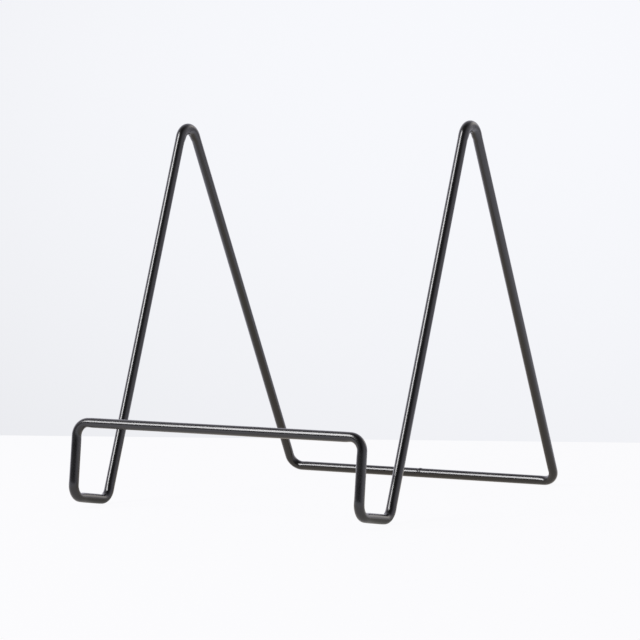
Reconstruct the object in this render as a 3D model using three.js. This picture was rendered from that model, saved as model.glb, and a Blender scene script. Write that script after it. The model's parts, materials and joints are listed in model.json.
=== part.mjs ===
// Album stand: one round steel wire, bent into a closed loop and butt-welded in the middle of the
// rear rail. Two sides mirror each other. Each runs from the front lip down a short post, back
// along a ledge, up a leaning upright, over the apex and down a rear leg, and is splayed outwards
// a little at its apex. The lip rail joins the sides in front and the rear rail joins them behind.
// The stand rests on its two heel bends and on the rear rail.
//
// Millimetres and degrees. +X is to the right, +Y to the back, +Z up. The origin is on the table,
// in the middle of the stand's outline. Every straight run, every bend and the weld is a mesh of
// its own, and they meet face to face where the bends end.

import * as THREE from "three";

// Driving dimensions. Lengths run from corner to corner, where the centrelines of two runs cross.
const WIRE_DIAMETER = 4;
const BEND_RADIUS = 5.3; // to the wire's centreline, in every bend but the two apexes
const APEX_BEND_RADIUS = 6.3;
const FRAME_WIDTH = 132; // between the centrelines of the two sides, except at the apexes
const APEX_SPLAY = 1.8; // how far outside its side each apex corner lies
const UPRIGHT_LENGTH = 173.2; // as seen from the side
const UPRIGHT_LEAN = 21.4; // from vertical, towards the back
const LEDGE_LENGTH = 24;
const LEDGE_RISE = 8.6; // from horizontal, so the ledge falls from the toe to the heel
const LIP_POST_LENGTH = 30;
const LIP_POST_LEAN = 6.5; // from vertical, towards the back
const BASE_DEPTH = 147; // from the heel corner to the rear rail's centreline
const WELD_LENGTH = 1.8;
const WELD_CROWN = 0.25; // how far the bead stands proud of the wire

// How finely the wire is faceted. A multiple of four sides puts flat facets square to each run.
const SECTION_SIDES = 16;
const BEND_STEPS = 10;
const WELD_STEPS = 4;

const BLACK_LACQUER = { color: 0x1b1b1d, roughness: 0.3, metalness: 0 };
const WELD_LACQUER = { color: 0x232220, roughness: 0.42, metalness: 0 };

const WIRE_RADIUS = WIRE_DIAMETER / 2;
const ACROSS = new THREE.Vector3(1, 0, 0);
const UP = new THREE.Vector3(0, 0, 1);
const SIDES = [
  { name: "left", sign: -1 },
  { name: "right", sign: 1 },
];

// A direction without any sideways part, turned by an angle from straight up towards the back.
function leaning(degrees) {
  const angle = THREE.MathUtils.degToRad(degrees);
  return new THREE.Vector3(0, Math.sin(angle), Math.cos(angle));
}

// The bend that rounds a corner between the lines from it to `before` and to `after`.
function bendAt(before, corner, after, radius = BEND_RADIUS) {
  const back = before.clone().sub(corner).normalize();
  const on = after.clone().sub(corner).normalize();
  const halfAngle = back.angleTo(on) / 2;
  const reach = radius / Math.tan(halfAngle);
  const towardsCentre = back.clone().add(on).normalize();
  return {
    start: corner.clone().addScaledVector(back, reach),
    end: corner.clone().addScaledVector(on, reach),
    centre: corner.clone().addScaledVector(towardsCentre, radius / Math.sin(halfAngle)),
    axis: on.clone().cross(back).normalize(),
    turn: Math.PI - 2 * halfAngle,
  };
}

// An arc that starts at `bend.start` and turns about the bend's axis.
class ArcCurve extends THREE.Curve {
  constructor(bend) {
    super();
    this.bend = bend;
    this.arm = bend.start.clone().sub(bend.centre);
  }

  armAt(t) {
    return this.arm.clone().applyAxisAngle(this.bend.axis, t * this.bend.turn);
  }

  getPoint(t, target = new THREE.Vector3()) {
    return target.copy(this.armAt(t)).add(this.bend.centre);
  }

  getTangent(t, target = new THREE.Vector3()) {
    return target.crossVectors(this.bend.axis, this.armAt(t)).normalize();
  }
}

// The wire's cross-section: a polygon whose facets touch the wire's circle from outside. One of
// them faces the direction `facing`, an angle in radians.
function wireSection(facing) {
  const cornerRadius = WIRE_RADIUS / Math.cos(Math.PI / SECTION_SIDES);
  const corners = [];
  for (let i = 0; i < SECTION_SIDES; i++) {
    const angle = facing + ((i + 0.5) / SECTION_SIDES) * 2 * Math.PI;
    corners.push(new THREE.Vector2(Math.cos(angle), Math.sin(angle)).multiplyScalar(cornerRadius));
  }
  return new THREE.Shape(corners);
}

// Sweeps the section along a flat curve. `normal` is square to the plane that the curve lies in,
// and at the curve's end one facet faces along `facet`.
function sweep(curve, steps, normal, facet = normal) {
  const frames = { tangents: [], normals: [], binormals: [] };
  for (let i = 0; i <= steps; i++) {
    const tangent = curve.getTangent(i / steps);
    frames.tangents.push(tangent);
    frames.normals.push(normal);
    frames.binormals.push(tangent.clone().cross(normal));
  }
  curve.computeFrenetFrames = () => frames;
  const facing = Math.atan2(facet.dot(frames.binormals[steps]), facet.dot(normal));
  return new THREE.ExtrudeGeometry(wireSection(facing), { steps, extrudePath: curve });
}

function mesh(name, geometry, finish) {
  const made = new THREE.Mesh(geometry, new THREE.MeshStandardMaterial(finish));
  made.name = name;
  return made;
}

function bendMesh(name, bend, facet) {
  return mesh(name, sweep(new ArcCurve(bend), BEND_STEPS, bend.axis, facet), BLACK_LACQUER);
}

// A straight run. One of its facets faces along `facing`, as nearly as its direction allows.
function straightMesh(name, from, to, facing) {
  const direction = to.clone().sub(from).normalize();
  const normal = facing.clone().projectOnPlane(direction).normalize();
  return mesh(name, sweep(new THREE.LineCurve3(from, to), 1, normal), BLACK_LACQUER);
}

// The five corners of a side as seen from the side, from the lip round to the rear rail. The heel
// corner is set so that the heel bend just touches the table, and the rear corner so that the
// rear rail lies on it.
function sideCorners() {
  const heelToToe = leaning(LEDGE_RISE - 90).multiplyScalar(LEDGE_LENGTH);
  const heelToApex = leaning(UPRIGHT_LEAN).multiplyScalar(UPRIGHT_LENGTH);
  const heelBend = bendAt(heelToToe, new THREE.Vector3(), heelToApex);
  const heel = new THREE.Vector3(0, 0, WIRE_RADIUS + BEND_RADIUS - heelBend.centre.z);
  const toe = heel.clone().add(heelToToe);
  const lip = toe.clone().addScaledVector(leaning(LIP_POST_LEAN), LIP_POST_LENGTH);
  const apex = heel.clone().add(heelToApex);
  const rear = new THREE.Vector3(0, BASE_DEPTH, WIRE_RADIUS);
  return { lip, toe, heel, apex, rear };
}

function acrossAt(point, x) {
  return new THREE.Vector3(x, point.y, point.z);
}

// The bends of one side, in the order that the wire runs.
function sideBends(corners, sign) {
  const x = (sign * FRAME_WIDTH) / 2;
  const lipMiddle = acrossAt(corners.lip, 0);
  const lip = acrossAt(corners.lip, x);
  const toe = acrossAt(corners.toe, x);
  const heel = acrossAt(corners.heel, x);
  const apex = acrossAt(corners.apex, x + sign * APEX_SPLAY);
  const rear = acrossAt(corners.rear, x);
  const rearMiddle = acrossAt(corners.rear, 0);
  return [
    bendAt(lipMiddle, lip, toe),
    bendAt(lip, toe, heel),
    bendAt(toe, heel, apex),
    bendAt(heel, apex, rear, APEX_BEND_RADIUS),
    bendAt(apex, rear, rearMiddle),
  ];
}

// One side's bends and straight runs. The rear corner ends with a facet facing up, as the rear
// rail has, so that the rail and its corners share a flat underside.
function sideMeshes(bends, side) {
  const [lip, toe, heel, apex, rear] = bends;
  return [
    bendMesh(`lip_corner_${side.name}`, lip),
    straightMesh(`lip_post_${side.name}`, lip.end, toe.start, ACROSS),
    bendMesh(`toe_bend_${side.name}`, toe),
    straightMesh(`foot_run_${side.name}`, toe.end, heel.start, ACROSS),
    bendMesh(`heel_bend_${side.name}`, heel),
    straightMesh(`front_upright_${side.name}`, heel.end, apex.start, ACROSS),
    bendMesh(`apex_bend_${side.name}`, apex),
    straightMesh(`rear_leg_${side.name}`, apex.end, rear.start, ACROSS),
    bendMesh(`rear_corner_${side.name}`, rear, UP),
    straightMesh(`rear_rail_${side.name}`, rear.end, weldFace(rear.end, side), UP),
  ];
}

// Where half of the rear rail, which starts at `from`, meets the weld.
function weldFace(from, side) {
  return acrossAt(from, (side.sign * WELD_LENGTH) / 2);
}

// The bead that joins the wire's two ends: a shallow barrel about the rail, dressed flush with
// the wire's underside so that the rail still lies flat.
function weldMesh(rear) {
  const profile = [new THREE.Vector2(0, -WELD_LENGTH / 2)];
  for (let i = 0; i <= WELD_STEPS; i++) {
    const along = (i / WELD_STEPS) * 2 - 1;
    const radius = WIRE_RADIUS + WELD_CROWN * (1 - along * along);
    profile.push(new THREE.Vector2(radius, (along * WELD_LENGTH) / 2));
  }
  profile.push(new THREE.Vector2(0, WELD_LENGTH / 2));
  const bead = mesh("butt_weld", new THREE.LatheGeometry(profile, SECTION_SIDES), WELD_LACQUER);
  bead.rotation.z = -Math.PI / 2;
  bead.position.set(0, rear.y, rear.z + WELD_CROWN);
  return bead;
}

function buildStand() {
  const stand = new THREE.Group();
  const corners = sideCorners();
  const [left, right] = SIDES.map((side) => {
    const bends = sideBends(corners, side.sign);
    stand.add(...sideMeshes(bends, side));
    return bends;
  });
  stand.add(straightMesh("front_lip_rail", left[0].start, right[0].start, right[0].axis));
  stand.add(weldMesh(corners.rear));
  return stand;
}

// The origin goes to the middle of the outline, on the table.
const stand = buildStand();
const outline = new THREE.Box3().setFromObject(stand);
const middle = outline.getCenter(new THREE.Vector3());
stand.position.set(0, -middle.y, -outline.min.z);

export default stand;
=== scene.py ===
"""The looks of the album stand: one lacquered steel wire, bent into a closed loop and butt-welded.

Everything is in metres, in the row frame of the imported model: +X to the right, +Y to the back,
+Z up, with the table at z = 0. The wire is swept once along its whole route, from one face of the
weld round to the other, and is cut into the same pieces as the CAD nodes that it stands for.
"""

import json
import math

import bpy
import numpy as np
from mathutils import Matrix, Vector


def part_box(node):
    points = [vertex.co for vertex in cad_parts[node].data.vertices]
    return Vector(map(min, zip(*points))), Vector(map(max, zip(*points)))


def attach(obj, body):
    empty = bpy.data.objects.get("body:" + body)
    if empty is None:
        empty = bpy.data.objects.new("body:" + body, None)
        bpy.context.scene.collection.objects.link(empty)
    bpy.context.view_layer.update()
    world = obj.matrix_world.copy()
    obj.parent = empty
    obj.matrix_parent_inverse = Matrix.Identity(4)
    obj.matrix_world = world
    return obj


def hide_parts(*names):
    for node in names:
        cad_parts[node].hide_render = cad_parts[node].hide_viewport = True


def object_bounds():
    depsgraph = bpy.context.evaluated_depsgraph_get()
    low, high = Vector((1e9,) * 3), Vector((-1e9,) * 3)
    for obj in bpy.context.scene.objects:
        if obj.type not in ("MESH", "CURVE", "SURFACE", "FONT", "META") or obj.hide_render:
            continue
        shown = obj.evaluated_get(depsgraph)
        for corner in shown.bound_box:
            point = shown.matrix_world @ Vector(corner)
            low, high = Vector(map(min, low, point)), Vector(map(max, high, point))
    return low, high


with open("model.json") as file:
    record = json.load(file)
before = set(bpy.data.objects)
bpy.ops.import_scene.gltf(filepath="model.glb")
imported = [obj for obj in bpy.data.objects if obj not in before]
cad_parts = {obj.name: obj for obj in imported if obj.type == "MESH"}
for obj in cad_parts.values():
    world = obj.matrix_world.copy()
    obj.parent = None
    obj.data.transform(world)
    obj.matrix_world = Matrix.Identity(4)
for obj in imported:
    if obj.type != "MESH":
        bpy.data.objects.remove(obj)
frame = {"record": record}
CAD_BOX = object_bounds()

MM = 0.001

# The camera, as the photograph was taken. Angles are in degrees.
CAMERA_AT = Vector((0.5830, -0.9904, 0.1366))
CAMERA_AZIMUTH = 30.54
CAMERA_ELEVATION = 3.13
CAMERA_ROLL = -0.08
CAMERA_SENSOR = 36.0
CAMERA_LENS = 156.07
CAMERA_CLIP_START = 0.05

# The mesh of the wire.
AROUND = 48  # vertices in one ring
RING_ANGLES = np.linspace(0, 2 * math.pi, AROUND, endpoint=False)
STRAIGHT_STEP = 0.8 * MM
BEND_STEP = 0.2 * MM
CURVE_EASE = 1.3 * MM  # how softly a bend's curve starts and ends, in the way it shines

# What cold bending does to a round wire, as shares of its radius. It gets wider across the bend and
# thinner in the bend's plane, and its inside flattens. In the hollow of an apex, where the wire
# turns most, metal and lacquer gather instead.
BEND_WIDENS = 0.035
BEND_THINS = 0.03
INSIDE_FLATTENS = 0.05
APEX_INSIDE_GATHERS = 0.42
BEND_EASE = 2.2 * MM  # how far past its ends a bend still changes the section

# The mark that the bending pin leaves in the hollow of a heel or apex bend: a crease between two
# ridges. Its place is measured from the bend's middle towards the rear rail.
PIN_MARKS = {"heel": 0.0, "apex": 3.8 * MM}
CREASE_DEPTH = 0.22 * MM
CREASE_HALF_LENGTH = 0.45 * MM
CREASE_RIDGE = 0.11 * MM
CREASE_RIDGE_AT = 1.15 * MM
CREASE_SPREAD = 0.75  # radians round the wire

# The weld bead.
BEAD_RINGS = 24
BEAD_CROWN = 0.08 * MM
BEAD_LUMPS = 0.015 * MM
BEAD_RIPPLES = ((5, 0.7, 1.0), (9, 2.0, 0.6))  # waves round the bead, phase and share
BEAD_LUMPS_ABOVE = -0.6  # of the radius: below this height the bead is dressed smooth

# Keeps a direction that has no length from dividing by zero.
NO_LENGTH = 1e-12


def towards(azimuth, elevation):
    """The direction from the stand to a place seen at that azimuth and elevation, in degrees.
    Azimuth 0 is straight in front and 90 to the right."""
    turn = math.radians(azimuth)
    rise = math.radians(elevation)
    level = math.cos(rise)
    return Vector((math.sin(turn) * level, -math.cos(turn) * level, math.sin(rise)))


# ---------------------------------------------------------------- the wire's route, from the frame


def centre(node):
    low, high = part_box(node)
    return (low + high) / 2


def extent(node):
    low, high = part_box(node)
    return high - low


def mount_axis(name):
    mounts = {mount["name"]: mount for mount in frame["record"]["mounts"]}
    return Vector(mounts[name]["axis"])


def line_along(through, across):
    """A line as seen from the side, as a point and a direction: through a point, square to a
    vector."""
    return through, Vector((0, -across.z, across.y)).normalized()


def line_between(a, b):
    return a, (b - a).normalized()


def crossing(first, second):
    """Where two lines cross, as seen from the side."""
    (p, d), (q, e) = first, second
    gap = q - p
    share = (gap.y * e.z - gap.z * e.y) / (d.y * e.z - d.z * e.y)
    return p + d * share


WIRE_RADIUS = extent("rear_rail_right").z / 2
WELD_LENGTH = extent("butt_weld").x


def from_the_side(point):
    return Vector((0, point.y, point.z))


def right_corners():
    """The corners of the wire's centreline on the right side, from the lip to the rear rail. All
    lie above each other as seen from the front, except the apex, which is splayed outwards."""
    middles = {
        node: centre(f"{node}_right")
        for node in ("lip_post", "foot_run", "front_upright", "rear_leg", "rear_rail")
    }
    flat = {node: from_the_side(middle) for node, middle in middles.items()}
    lip = from_the_side(centre("front_lip_rail"))
    rear = flat["rear_rail"]
    post = line_between(lip, flat["lip_post"])
    foot = line_along(flat["foot_run"], mount_axis("ledge_right"))
    upright = line_along(flat["front_upright"], mount_axis("backrest_right"))
    leg = line_between(rear, flat["rear_leg"])
    corners = {
        "lip": lip,
        "toe": crossing(post, foot),
        "heel": crossing(foot, upright),
        "apex": crossing(upright, leg),
        "rear": rear,
    }
    side_x = middles["foot_run"].x
    height = (corners["apex"] - corners["heel"]).length
    lower_part = (flat["front_upright"] - corners["heel"]).length
    splay = (middles["front_upright"].x - side_x) * height / lower_part
    for name, corner in corners.items():
        corner.x = side_x + splay if name == "apex" else side_x
    return corners


CORNERS = right_corners()


def reaches_of_bends():
    """How far along the wire each corner's bend takes up, from the corner to the bend's end. The
    middle of a straight run is halfway between the two bends that it joins, so each reach follows
    from the one before it."""
    reaches = {"lip": extent("lip_corner_right").x - WIRE_RADIUS}
    runs = [
        ("lip", "lip_post_right", "toe"),
        ("toe", "foot_run_right", "heel"),
        ("heel", "front_upright_right", "apex"),
        ("apex", "rear_leg_right", "rear"),
    ]
    for before, node, after in runs:
        middle = centre(node)
        longer = (CORNERS[after] - middle).length - (middle - CORNERS[before]).length
        reaches[after] = reaches[before] + longer
    return reaches


REACHES = reaches_of_bends()


def at_x(point, x):
    return Vector((x, point.y, point.z))


def route():
    """The corners that the wire turns at, in order, between the two faces of the weld. Each is a
    corner's name, its side and its place."""
    stops = []
    for side, sign, order in (
        ("right", 1, ("rear", "apex", "heel", "toe", "lip")),
        ("left", -1, ("lip", "toe", "heel", "apex", "rear")),
    ):
        for name in order:
            corner = CORNERS[name]
            stops.append((name, side, at_x(corner, sign * corner.x)))
    return stops


BEND_NODES = {
    "lip": "lip_corner",
    "toe": "toe_bend",
    "heel": "heel_bend",
    "apex": "apex_bend",
    "rear": "rear_corner",
}
RUN_NODES = {
    frozenset(("rear", "apex")): "rear_leg",
    frozenset(("apex", "heel")): "front_upright",
    frozenset(("heel", "toe")): "foot_run",
    frozenset(("toe", "lip")): "lip_post",
}


class Bend:
    """The arc that rounds one corner between the points before and after it. The sweep fills in
    where its middle lies along the wire."""

    def __init__(self, name, side, before, corner, after):
        back = (before - corner).normalized()
        on = (after - corner).normalized()
        half_angle = back.angle(on) / 2
        reach = REACHES[name]
        self.name = name
        self.node = f"{BEND_NODES[name]}_{side}"
        self.radius = reach * math.tan(half_angle)
        self.start = corner + back * reach
        self.end = corner + on * reach
        self.middle = corner + (back + on).normalized() * (self.radius / math.sin(half_angle))
        self.axis = on.cross(back).normalized()
        self.turn = math.pi - 2 * half_angle
        self.length = self.radius * self.turn
        self.along = 0.0


def all_bends():
    stops = route()
    weld = centre("rear_rail_right")
    places = [at_x(weld, 0)] + [place for _, _, place in stops] + [at_x(weld, 0)]
    return [
        Bend(name, side, places[i], place, places[i + 2])
        for i, (name, side, place) in enumerate(stops)
    ]


class Sweep:
    """The rings of the whole wire. Each ring has its centre, its distance along the wire and the
    two directions that span it. A span is a CAD node's name with its first and last ring."""

    def __init__(self):
        self.centres = []
        self.along = []
        self.first = []
        self.second = []
        self.spans = []

    def add(self, point, along, first, tangent):
        self.centres.append(point)
        self.along.append(along)
        self.first.append(first)
        self.second.append(tangent.cross(first))


def sweep_wire(bends):
    """Rings from one face of the weld to the other. The ring's directions turn with the bends and
    don't twist along the straight runs, so a pattern that follows the wire flows on from piece to
    piece."""
    sweep = Sweep()
    weld = centre("rear_rail_right")
    here = at_x(weld, WELD_LENGTH / 2)
    ends = [bend.start for bend in bends] + [at_x(weld, -WELD_LENGTH / 2)]
    first = Vector((0, 0, 1))
    along = 0.0
    sweep.add(here, along, first, (bends[0].start - here).normalized())
    for i, stop in enumerate(ends):
        run = stop - here
        tangent = run.normalized()
        steps = max(2, round(run.length / STRAIGHT_STEP))
        begin = len(sweep.centres) - 1
        for k in range(1, steps + 1):
            share = k / steps
            sweep.add(here + run * share, along + run.length * share, first, tangent)
        along += run.length
        sweep.spans.append((run_node(bends, i), begin, len(sweep.centres) - 1))
        if i == len(bends):
            break
        bend = bends[i]
        begin = len(sweep.centres) - 1
        steps = round(bend.length / BEND_STEP)
        arm = bend.start - bend.middle
        for k in range(1, steps + 1):
            turned = Matrix.Rotation(bend.turn * k / steps, 3, bend.axis)
            sweep.add(
                bend.middle + turned @ arm,
                along + bend.length * k / steps,
                turned @ first,
                turned @ tangent,
            )
        first = turned @ first
        bend.along = along + bend.length / 2
        along += bend.length
        here = bend.end
        sweep.spans.append((bend.node, begin, len(sweep.centres) - 1))
    return sweep


def run_node(bends, i):
    """The name of the straight run that leads to bend number i."""
    if i == 0:
        return "rear_rail_right"
    if i == len(bends):
        return "rear_rail_left"
    before, after = bends[i - 1], bends[i]
    if before.name == after.name:
        return "front_lip_rail"
    side = after.node.rsplit("_", 1)[1]
    return f"{RUN_NODES[frozenset((before.name, after.name))]}_{side}"


def smooth(t):
    t = np.clip(t, 0, 1)
    return t * t * (3 - 2 * t)


def bell(t):
    return np.exp(-t * t)


def inwardness(bend, centres, first, second, out):
    """How far each point of the rings faces a bend's middle: 1 inside, 0 at the sides and -1
    outside."""
    towards_middle = np.array(bend.middle) - centres
    sideways = np.array(bend.axis)
    towards_middle -= (towards_middle @ sideways)[:, None] * sideways
    tangents = np.cross(first, second)
    towards_middle -= (towards_middle * tangents).sum(1)[:, None] * tangents
    towards_middle /= np.linalg.norm(towards_middle, axis=1)[:, None] + NO_LENGTH
    return (out * towards_middle[:, None, :]).sum(2)


def bent_section(bend, inward):
    """What a bend adds to the wire's radius, as a share of it."""
    inside = np.clip(inward, 0, 1)
    shape = BEND_WIDENS * (1 - inward**2) - BEND_THINS * inward**2
    gathers = APEX_INSIDE_GATHERS if bend.name == "apex" else -INSIDE_FLATTENS
    return shape + gathers * inside**3


def pin_mark(bend, offset, inward):
    """The height of the pin's mark, for rings at an offset along the wire from a bend's middle."""
    towards_rear = 1 if bend.node.endswith("left") else -1
    past = offset - towards_rear * PIN_MARKS[bend.name]
    spread = bell(np.arccos(np.clip(inward, -1, 1)) / CREASE_SPREAD)
    notch = bell(past / CREASE_HALF_LENGTH)
    ridges = sum(
        bell((past + place) / CREASE_HALF_LENGTH) for place in (-CREASE_RIDGE_AT, CREASE_RIDGE_AT)
    )
    return spread * (CREASE_RIDGE * ridges - CREASE_DEPTH * notch)[:, None]


def wire_space(along):
    """The place of each ring's points in the wire's own space: the distance along the wire and the
    two coordinates across it."""
    shape = (len(along), AROUND)
    return np.stack(
        [
            np.broadcast_to(along[:, None], shape),
            WIRE_RADIUS * np.broadcast_to(np.cos(RING_ANGLES), shape),
            WIRE_RADIUS * np.broadcast_to(np.sin(RING_ANGLES), shape),
        ],
        axis=2,
    )


def swept_surface(sweep, bends):
    """The wire's surface, as rings of points."""
    centres = np.array(sweep.centres)
    first = np.array(sweep.first)
    second = np.array(sweep.second)
    along = np.array(sweep.along)
    out = (
        first[:, None, :] * np.cos(RING_ANGLES)[None, :, None]
        + second[:, None, :] * np.sin(RING_ANGLES)[None, :, None]
    )
    radius = np.full(out.shape[:2], WIRE_RADIUS)
    for bend in bends:
        offset = along - bend.along
        weight = smooth(1 - (np.abs(offset) - bend.length / 2) / BEND_EASE)
        inward = inwardness(bend, centres, first, second, out)
        radius += WIRE_RADIUS * weight[:, None] * bent_section(bend, inward)
        if bend.name in PIN_MARKS:
            radius += pin_mark(bend, offset, inward)
    return centres[:, None, :] + out * radius[:, :, None]


def surface_normals(surface):
    """Outward normals of a swept surface, by differences along and round it."""
    along = np.gradient(surface, axis=0)
    around = np.roll(surface, -1, axis=1) - np.roll(surface, 1, axis=1)
    normals = np.cross(around, along)
    return normals / np.linalg.norm(normals, axis=2)[:, :, None]


def eased_normals(normals, along):
    """The normals averaged over a short way along the wire: a cold bend eases in and out of its
    curve, and doesn't start it sharply where the arc does."""
    width = np.gradient(along)
    share = bell((along[:, None] - along[None, :]) / CURVE_EASE) * width[None, :]
    eased = np.einsum("ij,jkl->ikl", share, normals)
    return eased / np.linalg.norm(eased, axis=2)[:, :, None]


def swept_piece(name, surface, space, normals):
    """A closed mesh from rings of points: a smooth side and two flat ends."""
    rings, around = surface.shape[:2]
    side = [
        (
            i * around + j,
            i * around + (j + 1) % around,
            (i + 1) * around + (j + 1) % around,
            (i + 1) * around + j,
        )
        for i in range(rings - 1)
        for j in range(around)
    ]
    start = tuple(reversed(range(around)))
    end = tuple(range((rings - 1) * around, rings * around))
    mesh = bpy.data.meshes.new(name)
    mesh.from_pydata(surface.reshape(-1, 3).tolist(), [], [*side, start, end])
    mesh.polygons.foreach_set("use_smooth", [True] * len(side) + [False, False])
    flat = normals.reshape(-1, 3)
    first_end = surface[0].mean(0) - surface[1].mean(0)
    last_end = surface[-1].mean(0) - surface[-2].mean(0)
    loop_normals = [flat[v] for face in side for v in face]
    loop_normals += [first_end / np.linalg.norm(first_end)] * around
    loop_normals += [last_end / np.linalg.norm(last_end)] * around
    mesh.normals_split_custom_set([tuple(n) for n in loop_normals])
    attribute = mesh.attributes.new("wire_space", "FLOAT_VECTOR", "POINT")
    attribute.data.foreach_set("vector", space.reshape(-1).astype(np.float32))
    piece = bpy.data.objects.new(name, mesh)
    bpy.context.scene.collection.objects.link(piece)
    return piece


# ---------------------------------------------------------------- materials


def add_node(tree, kind, inputs=None, **settings):
    """Adds a node. Each input is a plain value or the output of another node."""
    node = tree.nodes.new(kind)
    for name, value in settings.items():
        setattr(node, name, value)
    for key, value in (inputs or {}).items():
        if isinstance(value, bpy.types.NodeSocket):
            tree.links.new(value, node.inputs[key])
        else:
            node.inputs[key].default_value = value
    return node


def stretched(tree, vector, scale):
    node = add_node(tree, "ShaderNodeVectorMath", {0: vector, 1: scale}, operation="MULTIPLY")
    return node.outputs["Vector"]


def noise(tree, vector, scale, detail=2.0, roughness=0.5):
    node = add_node(
        tree,
        "ShaderNodeTexNoise",
        {"Vector": vector, "Scale": scale, "Detail": detail, "Roughness": roughness},
    )
    return node.outputs["Fac"]


def ramp(tree, value, low, high, low_out=0.0, high_out=1.0):
    node = add_node(
        tree,
        "ShaderNodeMapRange",
        {"Value": value, 1: low, 2: high, 3: low_out, 4: high_out},
    )
    return node.outputs["Result"]


def math_node(tree, operation, *values):
    node = add_node(tree, "ShaderNodeMath", dict(enumerate(values)), operation=operation)
    return node.outputs["Value"]


def mixed_colour(tree, factor, first, second):
    node = add_node(
        tree,
        "ShaderNodeMix",
        {"Factor": factor, "A": first, "B": second},
        data_type="RGBA",
    )
    return node.outputs["Result"]


def bump(tree, height, depth, normal=None):
    inputs = {"Strength": 1.0, "Distance": depth, "Height": height}
    if normal is not None:
        inputs["Normal"] = normal
    return add_node(tree, "ShaderNodeBump", inputs).outputs["Normal"]


# The lacquer. The scales of its patterns are in cells per metre, with one dust nib in each nib cell.
DRAW_LINE_SCALE = (45, 2600, 2600)  # along the wire, and twice across it
PEEL_SCALE = 650.0
CLOUD_SCALE = 95.0
NIB_SCALE = 210.0
NIB_EDGE = 0.035  # from the nib's middle, as a share of a cell's width
NIB_TOP = 0.012
NIB_HEIGHT = 0.006 * MM
RUB_SCALE = 900.0
RUB_BELOW = 0.45 * MM  # above the table
RUB_FULL_BELOW = 0.12 * MM
RUB_DULLS = 0.25
RUB_COLOUR = (0.045, 0.042, 0.040, 1)
GLOSSIEST = 0.85  # shares of the lacquer's roughness
DULLEST = 1.25
LACQUER_IOR = 1.5
UNDER_COAT_SPECULAR = 0.25
COAT_ROUGHNESS = 0.17


def lacquer(name, dark, thin, roughness, peel_depth, line_depth):
    """Gloss black lacquer over drawn steel wire: lines that run along the wire and show through, an
    orange peel, a few dust nibs, a gloss that varies, and a rub where the stand meets the table."""
    material = bpy.data.materials.new(name)
    material.use_nodes = True
    tree = material.node_tree
    tree.nodes.clear()
    wire = add_node(tree, "ShaderNodeAttribute", attribute_name="wire_space").outputs["Vector"]
    place = add_node(tree, "ShaderNodeTexCoord").outputs["Object"]

    lines = noise(tree, stretched(tree, wire, DRAW_LINE_SCALE), 1.0, detail=3)
    peel = noise(tree, place, PEEL_SCALE, detail=1.5)
    cloud = noise(tree, place, CLOUD_SCALE, detail=3)
    nibs = add_node(tree, "ShaderNodeTexVoronoi", {"Vector": place, "Scale": NIB_SCALE})
    nib = ramp(tree, nibs.outputs["Distance"], NIB_EDGE, NIB_TOP)
    height_up = add_node(tree, "ShaderNodeSeparateXYZ", {"Vector": place}).outputs["Z"]
    underside = ramp(tree, height_up, RUB_BELOW, RUB_FULL_BELOW)
    patches = ramp(tree, noise(tree, place, RUB_SCALE, detail=4), 0.42, 0.6)
    rub = math_node(tree, "MULTIPLY", underside, patches)

    colour = mixed_colour(tree, ramp(tree, cloud, 0.3, 0.75), dark, thin)
    colour = mixed_colour(tree, ramp(tree, lines, 0.55, 0.8, 0, 0.5), colour, thin)
    colour = mixed_colour(tree, rub, colour, RUB_COLOUR)
    gloss = ramp(tree, cloud, 0.25, 0.8, roughness * GLOSSIEST, roughness * DULLEST)
    gloss = math_node(tree, "ADD", gloss, math_node(tree, "MULTIPLY", rub, RUB_DULLS))

    normal = bump(tree, lines, line_depth)
    normal = bump(tree, peel, peel_depth, normal)
    normal = bump(tree, nib, NIB_HEIGHT, normal)
    shader = add_node(
        tree,
        "ShaderNodeBsdfPrincipled",
        {
            "Base Color": colour,
            "Roughness": gloss,
            "IOR": LACQUER_IOR,
            "Specular IOR Level": UNDER_COAT_SPECULAR,
            "Coat Weight": 1.0,
            "Coat Roughness": COAT_ROUGHNESS,
            "Coat IOR": LACQUER_IOR,
            "Normal": normal,
            "Coat Normal": bump(tree, peel, peel_depth),
        },
    )
    add_node(tree, "ShaderNodeOutputMaterial", {"Surface": shader.outputs["BSDF"]})
    return material


# ---------------------------------------------------------------- the stand


def stands_for(piece, node, material):
    piece.data.materials.append(material)
    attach(piece, "root")
    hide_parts(node)


def make_wire(material):
    bends = all_bends()
    sweep = sweep_wire(bends)
    surface = swept_surface(sweep, bends)
    along = np.array(sweep.along)
    space = wire_space(along)
    normals = eased_normals(surface_normals(surface), along)
    for node, begin, end in sweep.spans:
        rings = slice(begin, end + 1)
        piece = swept_piece(f"wire_{node}", surface[rings], space[rings], normals[rings])
        stands_for(piece, node, material)


def make_bead(material):
    """The bead between the wire's two ends. It starts flush with them, crowns upwards and outwards
    in uneven ripples, and is dressed flush with the wire's underside."""
    rail = centre("rear_rail_right")
    share = np.linspace(-1, 1, BEAD_RINGS)
    height = np.sin(RING_ANGLES)
    crown = BEAD_CROWN * (1 - share**2)[:, None]
    ripples = sum(part * np.sin(waves * RING_ANGLES + phase) for waves, phase, part in BEAD_RIPPLES)
    lumps = BEAD_LUMPS * ripples[None, :]
    lumps = lumps * (1 - share**4)[:, None] * np.clip(height - BEAD_LUMPS_ABOVE, 0, 1)[None, :]
    radius = WIRE_RADIUS + crown + lumps
    along = share * WELD_LENGTH / 2
    x = np.broadcast_to(along[:, None], radius.shape)
    surface = np.stack(
        [x, rail.y + radius * np.cos(RING_ANGLES), rail.z + crown + radius * height], axis=2
    )
    space = wire_space(along)
    piece = swept_piece("weld_bead", surface, space, surface_normals(surface))
    stands_for(piece, "butt_weld", material)


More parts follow.
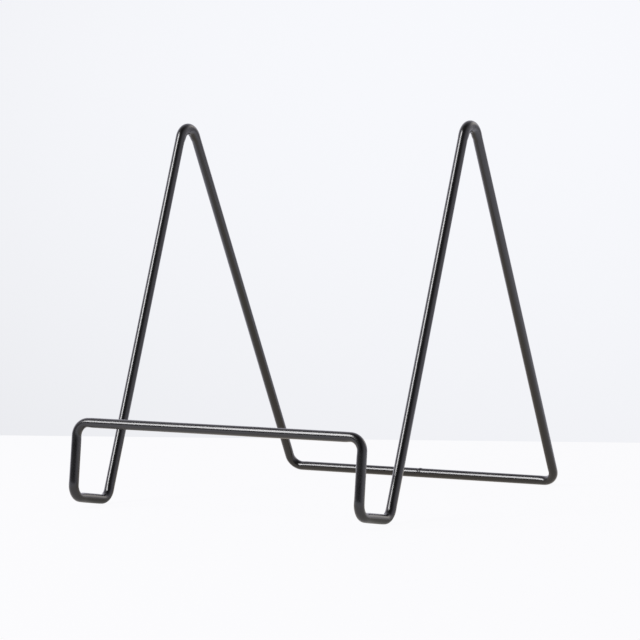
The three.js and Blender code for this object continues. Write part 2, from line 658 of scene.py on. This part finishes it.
make_wire(
    lacquer(
        "black_lacquer",
        dark=(0.0024, 0.0023, 0.0026, 1),
        thin=(0.0046, 0.0040, 0.0036, 1),
        roughness=0.32,
        peel_depth=0.002 * MM,
        line_depth=0.0005 * MM,
    )
)
make_bead(
    lacquer(
        "weld_lacquer",
        dark=(0.0040, 0.0036, 0.0032, 1),
        thin=(0.0080, 0.0070, 0.0060, 1),
        roughness=0.38,
        peel_depth=0.006 * MM,
        line_depth=0.001 * MM,
    )
)


# ---------------------------------------------------------------- the studio

TABLE_BACK_EDGE = 0.245  # from the stand's middle, away from the camera
TABLE_TURN = -7.65  # degrees that the table's back edge is turned from square to the camera
TABLE_FRONT = 3.0
TABLE_HALF_WIDTH = 2.5
# What the camera sees of the table: a glow, and a faint matt colour that takes the light.
TABLE_GLOW = (0.939, 0.938, 0.954, 1)
TABLE_TINT = (0.030, 0.030, 0.030, 1)
# The light that the table throws back up at the stand: dimmer and warmer under it than around it.
BOUNCE_UNDER = (0.67, 0.61, 0.54, 1)
BOUNCE_AROUND = (1.03, 1.03, 1.14, 1)
BOUNCE_UNDER_AT = Vector((0, 0.02, 0))
BOUNCE_UNDER_WITHIN = 0.07
BOUNCE_AROUND_FROM = 0.21
# The shade on the table under each foot run, which the underside of the wire reflects.
FOOT_SHADE = (0.36, 0.35, 0.33, 1)
FOOT_SHADE_BEHIND = Vector((0, 0.012, 0))
FOOT_SHADE_WITHIN = 0.010
FOOT_SHADE_TO = 0.026

# Soft round glows in the world. Each has an azimuth and an elevation in degrees, a sharpness and a
# strength. The backdrop is what the camera sees, and the room is what lights the stand.
OPPOSITE = CAMERA_AZIMUTH + 180
BACKDROP_GLOWS = ((OPPOSITE - 8.2, 2.3, 20.0, 0.246), (OPPOSITE + 7.4, 2.3, 66.0, 0.092))
BACKDROP_BASE = 0.684
BACKDROP_COLOUR = (0.991, 1.0, 1.0375, 1)
ROOM_GLOWS = ((OPPOSITE, 5.0, 1.0, 0.70), (100.0, 10.0, 4.0, 0.85), (-95.0, 15.0, 6.0, 0.60))
ROOM_BASE = 0.05
ROOM_COLOUR = (0.99, 0.97, 1.09, 1)
LOW_LIGHT = (158.0, 24.0, 25.0, 1.0)
LOW_LIGHT_BRIGHTENS = 1.25
LOW_LIGHT_COLOUR = (1.03, 0.97, 0.88, 1)


def distance_to(tree, place, point):
    node = add_node(tree, "ShaderNodeVectorMath", {0: place, 1: point}, operation="DISTANCE")
    return node.outputs["Value"]


def make_table():
    """A plain white table top. Nearly all of its brightness is its own glow, which keeps it even. The
    camera sees one glow and the stand reflects another, and from below the table isn't there."""
    away = math.radians(CAMERA_AZIMUTH + TABLE_TURN)
    corners = [
        (x, y, 0)
        for x, y in (
            (-TABLE_HALF_WIDTH, -TABLE_FRONT),
            (TABLE_HALF_WIDTH, -TABLE_FRONT),
            (TABLE_HALF_WIDTH, TABLE_BACK_EDGE),
            (-TABLE_HALF_WIDTH, TABLE_BACK_EDGE),
        )
    ]
    mesh = bpy.data.meshes.new("table")
    mesh.from_pydata(corners, [], [(0, 1, 2, 3)])
    mesh.transform(Matrix.Rotation(away, 4, "Z"))
    table = bpy.data.objects.new("table", mesh)
    bpy.context.scene.collection.objects.link(table)
    material = bpy.data.materials.new("table_white")
    material.use_nodes = True
    tree = material.node_tree
    tree.nodes.clear()
    place = add_node(tree, "ShaderNodeTexCoord").outputs["Object"]
    outer = ramp(
        tree, distance_to(tree, place, BOUNCE_UNDER_AT), BOUNCE_UNDER_WITHIN, BOUNCE_AROUND_FROM
    )
    bounce = mixed_colour(tree, outer, BOUNCE_UNDER, BOUNCE_AROUND)
    for foot in ("foot_run_left", "foot_run_right"):
        behind = centre(foot) + FOOT_SHADE_BEHIND
        behind.z = 0
        shade = ramp(tree, distance_to(tree, place, behind), FOOT_SHADE_WITHIN, FOOT_SHADE_TO)
        bounce = mixed_colour(tree, shade, FOOT_SHADE, bounce)
    seen = add_node(tree, "ShaderNodeLightPath").outputs["Is Camera Ray"]
    colour = mixed_colour(tree, seen, bounce, TABLE_GLOW)
    glow = add_node(tree, "ShaderNodeEmission", {"Color": colour, "Strength": 1.0})
    matt = add_node(tree, "ShaderNodeBsdfDiffuse", {"Color": TABLE_TINT})
    top = add_node(
        tree, "ShaderNodeAddShader", {0: glow.outputs["Emission"], 1: matt.outputs["BSDF"]}
    )
    clear = add_node(tree, "ShaderNodeBsdfTransparent")
    below = add_node(tree, "ShaderNodeNewGeometry").outputs["Backfacing"]
    surface = add_node(
        tree,
        "ShaderNodeMixShader",
        {0: below, 1: top.outputs["Shader"], 2: clear.outputs["BSDF"]},
    )
    add_node(tree, "ShaderNodeOutputMaterial", {"Surface": surface.outputs["Shader"]})
    mesh.materials.append(material)


def lobe(tree, direction, azimuth, elevation, sharpness, strength):
    """A soft round glow in the world, around one direction."""
    dot = add_node(
        tree,
        "ShaderNodeVectorMath",
        {0: direction, 1: towards(azimuth, elevation)},
        operation="DOT_PRODUCT",
    ).outputs["Value"]
    facing = math_node(tree, "MAXIMUM", dot, 0.0)
    return math_node(tree, "MULTIPLY", math_node(tree, "POWER", facing, sharpness), strength)


def total(tree, values):
    result = values[0]
    for value in values[1:]:
        result = math_node(tree, "ADD", result, value)
    return result


def make_world():
    """The pale backdrop that shows behind the stand, and the studio that lights it: bright walls to
    the back and sides, a low light at the back right, and a dark room around the camera."""
    world = bpy.data.worlds.new("studio")
    bpy.context.scene.world = world
    world.use_nodes = True
    tree = world.node_tree
    tree.nodes.clear()
    direction = add_node(tree, "ShaderNodeTexCoord").outputs["Generated"]
    glows = [lobe(tree, direction, *glow) for glow in BACKDROP_GLOWS]
    backdrop = total(tree, [*glows, BACKDROP_BASE])
    backdrop_shader = add_node(
        tree, "ShaderNodeBackground", {"Color": BACKDROP_COLOUR, "Strength": backdrop}
    )
    low_light = lobe(tree, direction, *LOW_LIGHT)
    glows = [lobe(tree, direction, *glow) for glow in ROOM_GLOWS]
    glows.append(math_node(tree, "MULTIPLY", low_light, LOW_LIGHT_BRIGHTENS))
    room = total(tree, [*glows, ROOM_BASE])
    tint = mixed_colour(tree, low_light, ROOM_COLOUR, LOW_LIGHT_COLOUR)
    room_shader = add_node(tree, "ShaderNodeBackground", {"Color": tint, "Strength": room})
    seen = add_node(tree, "ShaderNodeLightPath").outputs["Is Camera Ray"]
    surface = add_node(
        tree,
        "ShaderNodeMixShader",
        {0: seen, 1: room_shader.outputs["Background"], 2: backdrop_shader.outputs["Background"]},
    )
    add_node(tree, "ShaderNodeOutputWorld", {"Surface": surface.outputs["Shader"]})


def softbox(name, azimuth, elevation, distance, width, height, radiance, colour):
    """A soft light that faces the stand. Its power follows from how bright its face looks."""
    light = bpy.data.lights.new(name, "AREA")
    light.shape = "RECTANGLE"
    light.size = width
    light.size_y = height
    light.energy = radiance * math.pi * width * height
    light.color = colour
    lamp = bpy.data.objects.new(name, light)
    bpy.context.scene.collection.objects.link(lamp)
    low, high = CAD_BOX
    away = towards(azimuth, elevation)
    lamp.location = (low + high) / 2 + away * distance
    lamp.rotation_mode = "QUATERNION"
    lamp.rotation_quaternion = (-away).to_track_quat("-Z", "Y")
    lamp.visible_camera = False


def make_camera():
    data = bpy.data.cameras.new("camera")
    data.sensor_width = CAMERA_SENSOR
    data.lens = CAMERA_LENS
    data.clip_start = CAMERA_CLIP_START
    camera = bpy.data.objects.new("camera", data)
    bpy.context.scene.collection.objects.link(camera)
    back = towards(CAMERA_AZIMUTH, CAMERA_ELEVATION)
    level = (-back).to_track_quat("-Z", "Y").to_matrix()
    rolled = level @ Matrix.Rotation(math.radians(CAMERA_ROLL), 3, "Z")
    camera.matrix_world = Matrix.Translation(CAMERA_AT) @ rolled.to_4x4()
    bpy.context.scene.camera = camera


make_table()
make_world()
softbox(
    "key",
    azimuth=-34.0,
    elevation=36.0,
    distance=1.6,
    width=0.60,
    height=0.95,
    radiance=13.0,
    colour=(0.99, 0.985, 1.0),
)
make_camera()
bpy.context.scene.view_settings.view_transform = "Standard"

bpy.context.view_layer.update()
